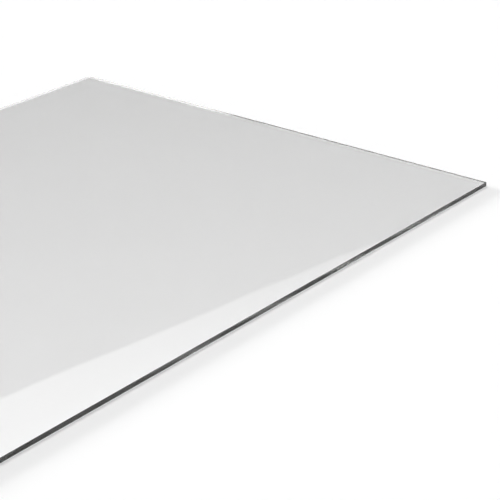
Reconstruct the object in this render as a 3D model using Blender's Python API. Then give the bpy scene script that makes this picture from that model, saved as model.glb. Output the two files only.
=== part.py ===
"""A clear acrylic sheet: one flat rectangular panel, lying on its face.

Units are metres and +Z is up. The origin is the middle of the underside. The long
side runs along X, the short side along Y, and the underside is at Z = 0.
"""

import bmesh
import bpy
from mathutils import Matrix, Vector

# The sheet as it is sold
SHEET_LENGTH = 1.200
SHEET_WIDTH = 0.600
SHEET_THICKNESS = 0.005

# Every edge is eased, so that it is safe to handle: how far in from the sharp
# corner the small flat starts, on each of the two faces that meet there
ARRIS_SETBACK = 0.0001

# Clear, colourless and polished all over
ACRYLIC_COLOUR = (0.95, 0.95, 0.95, 1.0)
ACRYLIC_ROUGHNESS = 0.02
ACRYLIC_METALLIC = 0.0
ACRYLIC_TRANSMISSION = 1.0
ACRYLIC_REFRACTIVE_INDEX = 1.49


def clear_scene():
    for old in list(bpy.data.objects):
        bpy.data.objects.remove(old, do_unlink=True)


def clear_acrylic():
    """The colourless, polished plastic of the whole sheet."""
    material = bpy.data.materials.new("clear_acrylic")
    material.use_nodes = True
    shader = material.node_tree.nodes["Principled BSDF"]
    shader.inputs["Base Color"].default_value = ACRYLIC_COLOUR
    shader.inputs["Roughness"].default_value = ACRYLIC_ROUGHNESS
    shader.inputs["Metallic"].default_value = ACRYLIC_METALLIC
    shader.inputs["Transmission Weight"].default_value = ACRYLIC_TRANSMISSION
    shader.inputs["IOR"].default_value = ACRYLIC_REFRACTIVE_INDEX
    return material


def acrylic_sheet(material):
    """The panel: a block of the sheet's own size, raised so that it lies on Z = 0."""
    size = Vector((SHEET_LENGTH, SHEET_WIDTH, SHEET_THICKNESS))
    raised = Vector((0.0, 0.0, SHEET_THICKNESS / 2))
    shape = bmesh.new()
    bmesh.ops.create_cube(shape, size=1.0, matrix=Matrix.LocRotScale(raised, None, size))
    mesh = bpy.data.meshes.new("acrylic_sheet")
    shape.to_mesh(mesh)
    shape.free()
    mesh.materials.append(material)

    sheet = bpy.data.objects.new("acrylic_sheet", mesh)
    bpy.context.scene.collection.objects.link(sheet)

    arris = sheet.modifiers.new("arris", "BEVEL")
    arris.offset_type = "OFFSET"
    arris.width = ARRIS_SETBACK
    arris.segments = 1
    arris.limit_method = "NONE"
    return sheet


def main():
    clear_scene()
    acrylic_sheet(clear_acrylic())


main()
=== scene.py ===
"""The looks of the clear acrylic sheet: its finish, the floor, the light and the camera.

Everything is in metres, in the sheet's own frame: the long side along X, the short
side along Y, and the underside at Z = 0.
"""

from math import cos, pi, radians, sin

import bpy
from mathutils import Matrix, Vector


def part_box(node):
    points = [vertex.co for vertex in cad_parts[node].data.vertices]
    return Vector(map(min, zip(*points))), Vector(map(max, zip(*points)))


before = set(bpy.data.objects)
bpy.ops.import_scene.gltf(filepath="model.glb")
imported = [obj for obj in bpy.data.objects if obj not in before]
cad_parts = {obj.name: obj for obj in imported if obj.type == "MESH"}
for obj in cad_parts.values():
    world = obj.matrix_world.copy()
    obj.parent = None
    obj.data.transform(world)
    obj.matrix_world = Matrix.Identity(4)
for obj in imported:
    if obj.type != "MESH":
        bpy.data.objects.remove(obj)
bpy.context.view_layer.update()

SHEET = "acrylic_sheet"

# The acrylic
REFRACTIVE_INDEX = 1.49
POLISH_ROUGHNESS = 0.0
TINT = (1.0, 1.0, 1.0, 1.0)
ABSORPTION_COLOUR = (0.9, 0.9, 0.9, 1.0)
ABSORPTION_DENSITY = 45.0

# Casting leaves long shallow waves in the surface
WAVE_LENGTH = 0.22
WAVE_HEIGHT = 0.00006
WAVE_DETAIL = 1.0

# The sawn ends and the scraped arrises are duller than the polish, and greyer by a painted
# shade: a dark grey that stands in for the shade inside the edges. The painted shade is
# thinner on the far side: how clear they are before a stretch of Y and past it
CUT_CLARITY = (0.45, 0.9)
CUT_PAINTED_SHADE_THINS_OVER = (0.04, 0.11)
CUT_PAINTED_SHADE = (0.06, 0.06, 0.06)
CUT_ROUGHNESS = 0.05
# The saw's upright marks: the noise at which one is faint and at which it is full, and what
# each does to the painted shade and the roughness
CUT_MARK_SPACING = 0.0015
CUT_MARK_DETAIL = 3.0
CUT_MARK_NOISE = (0.3, 0.7)
CUT_MARK_SPREAD = (0.5, 1.6)
# A sawn end is told by how much of its direction is along X, and an arris, which faces
# halfway between an edge and a flat face, by how much is along Z
END_FACING = (0.8, 0.9)
ARRIS_STARTS = (0.3, 0.5)
ARRIS_ENDS = (0.8, 0.95)

# The floor, and how much it glows by itself wherever it is seen
FLOOR_HALF = 30.0
FLOOR_GAP = 0.00005
FLOOR_COLOUR = (0.9, 0.9, 0.9, 1.0)
FLOOR_LIFT = 0.10

# The big softbox: its level at each elevation in degrees, ahead of the camera and on all
# other sides, and the cosines from straight ahead between which one gives way to the other
SOFTBOX_AHEAD = ((22.5, 0.03), (23.5, 0.06), (24.5, 0.42), (25.4, 0.49), (27.4, 0.68),
                 (30.5, 0.94), (38.0, 0.74), (70.0, 0.74))
SOFTBOX_ROUND = ((6.0, 0.0), (18.0, 0.74), (40.0, 0.74), (70.0, 0.74))
SOFTBOX_AHEAD_FADE = (0.4, 0.75)
# Its straight rim, mirrored in the face as the border of the light zone: the direction
# square to it, as shares of the camera's right, its way ahead and up, the cosines between
# which it fades, and what is left of the softbox outside it
SOFTBOX_RIM = (0.3868, -0.4013, 0.8303)
SOFTBOX_RIM_FADE = (-0.0020, 0.0010)
SOFTBOX_OUTSIDE = 0.05
# The white horizon ends between these elevations
HORIZON_TOP = (6.0, 10.0)

# The softbox has panes with darker bars between them, mirrored in the face on the sides
# away from the photograph's: how many there are in a full turn, how steeply they lean and
# about which elevation, the levels of a bar and of a pane, how soft their borders are, and
# where they fade out, in cosines from straight ahead and in degrees of elevation
PANES = 4.0
PANE_LEAN = 14.0
PANE_MIDDLE = 15.0
PANE_LEVELS = (0.5, 1.25)
PANE_SOFTNESS = 0.15
PANES_END_AHEAD = (0.70, 0.82)
PANES_END_ABOVE = (55.0, 65.0)

# How many mirrorings in the sheet take a ray to the far edges' panels, and how many take it
# to the near edge's in their place
FAR_EDGE_MIRRORINGS = 2
NEAR_EDGE_MIRRORINGS = 7
# The smaller panels: the level, then where the bottom and the top fade in degrees of
# elevation, and where the right and the left side fade in degrees round from X
FAR_EDGE_PANELS = (
    (3.6, (16.0, 17.5), (20.5, 22.0), (128.0, 132.0), (140.5, 141.5)),
    (2.5, (14.0, 16.0), (21.0, 24.0), (-60.0, -52.0), (-46.0, -36.0)),
    (1.6, (18.0, 19.0), (27.5, 30.0), (140.5, 143.0), (155.0, 160.0)),
    (3.0, (15.0, 17.0), (21.0, 23.0), (-150.0, -146.0), (-128.0, -124.0)),
)
NEAR_EDGE_PANELS = (
    (3.0, (17.0, 19.0), (27.5, 30.0), (20.0, 26.0), (38.0, 47.0)),
    (13.0, (21.6, 22.3), (27.5, 30.0), (143.5, 147.5), (155.0, 160.0)),
)
# These light the floor through the sheet
COVERED_FLOOR_PANELS = (
    (10.4, (3.0, 7.0), (8.0, 25.0), (50.0, 62.0), (140.5, 141.5)),
    (1.36, (36.0, 46.0), (54.0, 66.0), (0.0, 40.0), (130.0, 170.0)),
)
# These light the open floor. The first, low one leaves the sheet's wide soft shadow beside
# the near edge, and the second leaves the dark line at the edge's foot
OPEN_FLOOR_PANELS = (
    (43.5, (4.0, 8.0), (11.0, 17.0), (68.0, 78.0), (100.0, 112.0)),
    (23.0, (50.5, 53.5), (57.0, 60.0), (58.0, 72.0), (108.0, 122.0)),
    (3.7, (40.0, 50.0), (85.0, 90.0), (-105.0, -95.0), (-15.0, -5.0)),
)

# How many times a ray may be bent or mirrored, and how many times scattered by the floor
BENDS_AND_MIRRORINGS = 64
FLOOR_SCATTERINGS = 4

# The camera, from the perspective of the photograph. Its height over the top face is in
# metres, and its distances to the right and ahead to the corner are shares of that height
LENS_MM = 119.53
SENSOR_MM = 36.0
TILT_DOWN = radians(24.2395)
TURN = radians(-51.757)
HEIGHT_OVER_TOP = 0.6845
CORNER_RIGHT = 0.38172
CORNER_AHEAD = 2.48845

CAMERA_RIGHT = Vector((cos(TURN), sin(TURN), 0.0))
CAMERA_AHEAD = Vector((-sin(TURN), cos(TURN), 0.0))
UP = Vector((0.0, 0.0, 1.0))


def cleared(owner):
    """The node tree of a material or world, emptied."""
    owner.use_nodes = True
    owner.node_tree.nodes.clear()
    return owner.node_tree


def put(tree, value, socket):
    """Gives a socket a plain number, or a link from another socket."""
    if isinstance(value, (int, float)):
        socket.default_value = value
    else:
        tree.links.new(value, socket)


def worked_out(tree, operation, first, second=0.0):
    """One step of arithmetic, on one value or on two."""
    step = tree.nodes.new("ShaderNodeMath")
    step.operation = operation
    put(tree, first, step.inputs[0])
    put(tree, second, step.inputs[1])
    return step.outputs[0]


def product(tree, first, *others):
    for other in others:
        first = worked_out(tree, "MULTIPLY", first, other)
    return first


def total(tree, first, *others):
    for other in others:
        first = worked_out(tree, "ADD", first, other)
    return first


def largest(tree, first, *others):
    for other in others:
        first = worked_out(tree, "MAXIMUM", first, other)
    return first


def remainder(tree, share):
    """What a share leaves of one."""
    return worked_out(tree, "SUBTRACT", 1.0, share)


def at_least(tree, count, fewest):
    return worked_out(tree, "GREATER_THAN", count, fewest - 0.5)


def eased(tree, value, low, high, before=0.0, after=1.0):
    """A smooth change from before to after while value goes from low to high."""
    change = tree.nodes.new("ShaderNodeMapRange")
    change.interpolation_type = "SMOOTHSTEP"
    tree.links.new(value, change.inputs["Value"])
    change.inputs["From Min"].default_value = low
    change.inputs["From Max"].default_value = high
    change.inputs["To Min"].default_value = before
    change.inputs["To Max"].default_value = after
    return change.outputs["Result"]


def parted(tree, vector):
    """A vector's X, Y and Z."""
    split = tree.nodes.new("ShaderNodeSeparateXYZ")
    tree.links.new(vector, split.inputs["Vector"])
    return split.outputs["X"], split.outputs["Y"], split.outputs["Z"]


def cut_places(tree):
    """One where the roughness and painted shade go, on the sawn ends and scraped arrises, and none on
    the polish.
    """
    surface = tree.nodes.new("ShaderNodeNewGeometry")
    along, _, upward = parted(tree, surface.outputs["Normal"])
    sawn_end = eased(tree, worked_out(tree, "ABSOLUTE", along), *END_FACING)
    upward = worked_out(tree, "ABSOLUTE", upward)
    scraped_arris = product(tree, eased(tree, upward, *ARRIS_STARTS),
                            eased(tree, upward, *ARRIS_ENDS, 1.0, 0.0))
    return largest(tree, sawn_end, scraped_arris)


def saw_marks(tree, place):
    """Upright marks along the cut ends: how strong the cut's painted shade and roughness are."""
    along = tree.nodes.new("ShaderNodeMapping")
    along.inputs["Scale"].default_value = (0.0, 1.0 / CUT_MARK_SPACING, 0.0)
    tree.links.new(place, along.inputs["Vector"])
    marks = tree.nodes.new("ShaderNodeTexNoise")
    marks.inputs["Scale"].default_value = 1.0
    marks.inputs["Detail"].default_value = CUT_MARK_DETAIL
    tree.links.new(along.outputs["Vector"], marks.inputs["Vector"])
    return eased(tree, marks.outputs["Fac"], *CUT_MARK_NOISE, *CUT_MARK_SPREAD)


def casting_waves(tree, place):
    """The long shallow waves that casting leaves in a face, seen only in what it mirrors."""
    waves = tree.nodes.new("ShaderNodeTexNoise")
    waves.inputs["Scale"].default_value = 1.0 / WAVE_LENGTH
    waves.inputs["Detail"].default_value = WAVE_DETAIL
    tree.links.new(place, waves.inputs["Vector"])
    relief = tree.nodes.new("ShaderNodeBump")
    relief.inputs["Strength"].default_value = 1.0
    relief.inputs["Distance"].default_value = WAVE_HEIGHT
    tree.links.new(waves.outputs["Fac"], relief.inputs["Height"])
    return relief.outputs["Normal"]


def tint_and_painted_shade(tree, cut, marks):
    """The clear tint of the polish, and the marked dark grey of the cuts, a painted shade."""
    painted_shade = tree.nodes.new("ShaderNodeVectorMath")
    painted_shade.operation = "SCALE"
    painted_shade.inputs[0].default_value = CUT_PAINTED_SHADE
    tree.links.new(marks, painted_shade.inputs["Scale"])
    tint = tree.nodes.new("ShaderNodeMix")
    tint.data_type = "RGBA"
    sockets = {socket.identifier: socket for socket in tint.inputs}
    tree.links.new(cut, sockets["Factor_Float"])
    sockets["A_Color"].default_value = TINT
    tree.links.new(painted_shade.outputs["Vector"], sockets["B_Color"])
    return next(socket for socket in tint.outputs if socket.identifier == "Result_Color")


def acrylic():
    material = bpy.data.materials.new("polished_clear_acrylic")
    tree = cleared(material)
    place = tree.nodes.new("ShaderNodeTexCoord").outputs["Object"]
    cut = cut_places(tree)
    marks = saw_marks(tree, place)
    across = parted(tree, place)[1]
    # The cuts' painted shade, a dark grey for the shade inside the edges, is heavier on the near side
    cut_clarity_under_painted_shade = eased(tree, across, *CUT_PAINTED_SHADE_THINS_OVER, *CUT_CLARITY)
    clarity = remainder(tree, product(tree, cut, remainder(tree, cut_clarity_under_painted_shade)))
    roughness = total(tree, POLISH_ROUGHNESS, product(tree, cut, marks, CUT_ROUGHNESS))
    shader = tree.nodes.new("ShaderNodeBsdfPrincipled")
    shader.inputs["IOR"].default_value = REFRACTIVE_INDEX
    tree.links.new(tint_and_painted_shade(tree, cut, marks), shader.inputs["Base Color"])
    tree.links.new(clarity, shader.inputs["Transmission Weight"])
    tree.links.new(roughness, shader.inputs["Roughness"])
    tree.links.new(casting_waves(tree, place), shader.inputs["Normal"])
    absorb = tree.nodes.new("ShaderNodeVolumeAbsorption")
    absorb.inputs["Color"].default_value = ABSORPTION_COLOUR
    absorb.inputs["Density"].default_value = ABSORPTION_DENSITY
    out = tree.nodes.new("ShaderNodeOutputMaterial")
    tree.links.new(shader.outputs["BSDF"], out.inputs["Surface"])
    tree.links.new(absorb.outputs["Volume"], out.inputs["Volume"])
    return material


def finish_sheet():
    sheet = bpy.data.objects[SHEET]
    sheet.data.materials.clear()
    sheet.data.materials.append(acrylic())


def seen_directly(tree, path):
    """One for a ray that the camera, a mirroring or the clear plastic sends, and no other."""
    return largest(tree, path.outputs["Is Glossy Ray"], path.outputs["Is Transmission Ray"],
                   path.outputs["Is Camera Ray"])


def floor_paint():
    material = bpy.data.materials.new("white_floor")
    tree = cleared(material)
    paint = tree.nodes.new("ShaderNodeBsdfDiffuse")
    paint.inputs["Color"].default_value = FLOOR_COLOUR
    lift = tree.nodes.new("ShaderNodeEmission")
    path = tree.nodes.new("ShaderNodeLightPath")
    tree.links.new(product(tree, seen_directly(tree, path), FLOOR_LIFT), lift.inputs["Strength"])
    both = tree.nodes.new("ShaderNodeAddShader")
    tree.links.new(paint.outputs["BSDF"], both.inputs[0])
    tree.links.new(lift.outputs["Emission"], both.inputs[1])
    out = tree.nodes.new("ShaderNodeOutputMaterial")
    tree.links.new(both.outputs["Shader"], out.inputs["Surface"])
    return material


def white_floor():
    bpy.ops.object.select_all(action="DESELECT")
    bpy.ops.mesh.primitive_plane_add(size=2 * FLOOR_HALF, location=(0, 0, -FLOOR_GAP))
    floor = bpy.context.object
    floor.name = "floor"
    floor.data.materials.append(floor_paint())


def towards(tree, direction, way):
    """The cosine of the angle between each direction and one way."""
    dot = tree.nodes.new("ShaderNodeVectorMath")
    dot.operation = "DOT_PRODUCT"
    tree.links.new(direction, dot.inputs[0])
    dot.inputs[1].default_value = way
    return dot.outputs["Value"]


def over(tree, height, low, high, before=0.0, after=1.0):
    """A change between two elevations. A direction's height is the sine of its elevation."""
    return eased(tree, height, sin(radians(low)), sin(radians(high)), before, after)


def turned(tree, turn, low, high, before=0.0, after=1.0):
    return eased(tree, turn, radians(low), radians(high), before, after)


def by_elevation(tree, height, levels):
    """Straight runs between the levels given at some elevations."""
    ramp = tree.nodes.new("ShaderNodeValToRGB")
    ramp.color_ramp.interpolation = "LINEAR"
    stops = ramp.color_ramp.elements
    top = max(level for degrees, level in levels)
    while len(stops) < len(levels):
        stops.new(1.0)
    for stop, (degrees, level) in zip(stops, levels):
        stop.position = sin(radians(degrees))
        stop.color = (level / top, level / top, level / top, 1.0)
    tree.links.new(height, ramp.inputs["Fac"])
    return product(tree, ramp.outputs["Color"], top)


def softbox(tree, direction, height):
    ahead = eased(tree, towards(tree, direction, CAMERA_AHEAD), *SOFTBOX_AHEAD_FADE)
    level = total(tree, product(tree, by_elevation(tree, height, SOFTBOX_AHEAD), ahead),
                  product(tree, by_elevation(tree, height, SOFTBOX_ROUND), remainder(tree, ahead)))
    right_share, ahead_share, up_share = SOFTBOX_RIM
    rim = right_share * CAMERA_RIGHT + ahead_share * CAMERA_AHEAD + up_share * UP
    inside = eased(tree, towards(tree, direction, rim), *SOFTBOX_RIM_FADE, SOFTBOX_OUTSIDE, 1.0)
    return product(tree, level, inside)


def panes(tree, direction, height, turn, met):
    """What the panes and their bars make of the softbox's level where they are met."""
    lean = product(tree, PANE_LEAN, worked_out(tree, "SUBTRACT", height, sin(radians(PANE_MIDDLE))))
    across = total(tree, lean, product(tree, PANES, turn))
    level = eased(tree, worked_out(tree, "SINE", across), -PANE_SOFTNESS, PANE_SOFTNESS, *PANE_LEVELS)
    ahead = towards(tree, direction, CAMERA_AHEAD)
    showing = product(tree, eased(tree, ahead, *PANES_END_AHEAD, 1.0, 0.0),
                      over(tree, height, *PANES_END_ABOVE, 1.0, 0.0), met)
    return total(tree, 1.0, product(tree, showing, worked_out(tree, "SUBTRACT", level, 1.0)))


def panels(tree, height, turn, shapes):
    light = 0.0
    for level, bottom, top, right_side, left_side in shapes:
        panel = product(tree, over(tree, height, *bottom), over(tree, height, *top, 1.0, 0.0),
                        turned(tree, turn, *right_side), turned(tree, turn, *left_side, 1.0, 0.0),
                        level)
        light = total(tree, light, panel)
    return light


def studio_light():
    world = bpy.data.worlds.new("studio")
    bpy.context.scene.world = world
    tree = cleared(world)
    direction = tree.nodes.new("ShaderNodeTexCoord").outputs["Generated"]
    along, across, height = parted(tree, direction)
    turn = worked_out(tree, "ARCTAN2", across, along)

    # What a ray has met before settles which panels it meets: the floor's own panels aren't
    # mirrored in the sheet, and the edges' panels are met only past mirrorings in it
    path = tree.nodes.new("ShaderNodeLightPath")
    scattered = at_least(tree, path.outputs["Diffuse Depth"], 1)
    off_the_floor = largest(tree, remainder(tree, seen_directly(tree, path)), scattered)
    through_the_sheet = at_least(tree, path.outputs["Transmission Depth"], 1)
    off_open_floor = product(tree, off_the_floor, remainder(tree, through_the_sheet))
    off_covered_floor = product(tree, off_the_floor, through_the_sheet)
    in_the_edges = at_least(tree, path.outputs["Glossy Depth"], FAR_EDGE_MIRRORINGS)
    in_near_edge = at_least(tree, path.outputs["Glossy Depth"], NEAR_EDGE_MIRRORINGS)
    in_far_edges = worked_out(tree, "SUBTRACT", in_the_edges, in_near_edge)
    in_the_face = remainder(tree, largest(tree, off_the_floor, in_the_edges))

    light = product(tree, softbox(tree, direction, height),
                    panes(tree, direction, height, turn, in_the_face),
                    remainder(tree, off_open_floor))
    light = total(tree, light, over(tree, height, *HORIZON_TOP, 1.0, 0.0))
    for met, shapes in ((in_far_edges, FAR_EDGE_PANELS), (in_near_edge, NEAR_EDGE_PANELS),
                        (off_covered_floor, COVERED_FLOOR_PANELS), (off_open_floor, OPEN_FLOOR_PANELS)):
        light = total(tree, light, product(tree, met, panels(tree, height, turn, shapes)))
    background = tree.nodes.new("ShaderNodeBackground")
    background.inputs["Color"].default_value = (1.0, 1.0, 1.0, 1.0)
    tree.links.new(light, background.inputs["Strength"])
    out = tree.nodes.new("ShaderNodeOutputWorld")
    tree.links.new(background.outputs["Background"], out.inputs["Surface"])


def camera():
    low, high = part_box(SHEET)
    corner = Vector((high[0], low[1], high[2]))
    eye = corner - HEIGHT_OVER_TOP * (CORNER_RIGHT * CAMERA_RIGHT + CORNER_AHEAD * CAMERA_AHEAD - UP)
    lens = bpy.data.cameras.new("camera")
    lens.lens = LENS_MM
    lens.sensor_width = SENSOR_MM
    shot = bpy.data.objects.new("camera", lens)
    bpy.context.scene.collection.objects.link(shot)
    shot.location = eye
    shot.rotation_euler = (pi / 2 - TILT_DOWN, 0.0, TURN)
    bpy.context.scene.camera = shot


def clear_plastic_settings():
    """Plain colours, sharp mirroring, and rays long enough for the inside of the sheet."""
    scene = bpy.context.scene
    scene.view_settings.view_transform = "Standard"
    scene.cycles.blur_glossy = 0.0
    scene.cycles.max_bounces = BENDS_AND_MIRRORINGS
    scene.cycles.transmission_bounces = BENDS_AND_MIRRORINGS
    scene.cycles.glossy_bounces = BENDS_AND_MIRRORINGS
    scene.cycles.diffuse_bounces = FLOOR_SCATTERINGS


camera()
finish_sheet()
white_floor()
studio_light()
clear_plastic_settings()
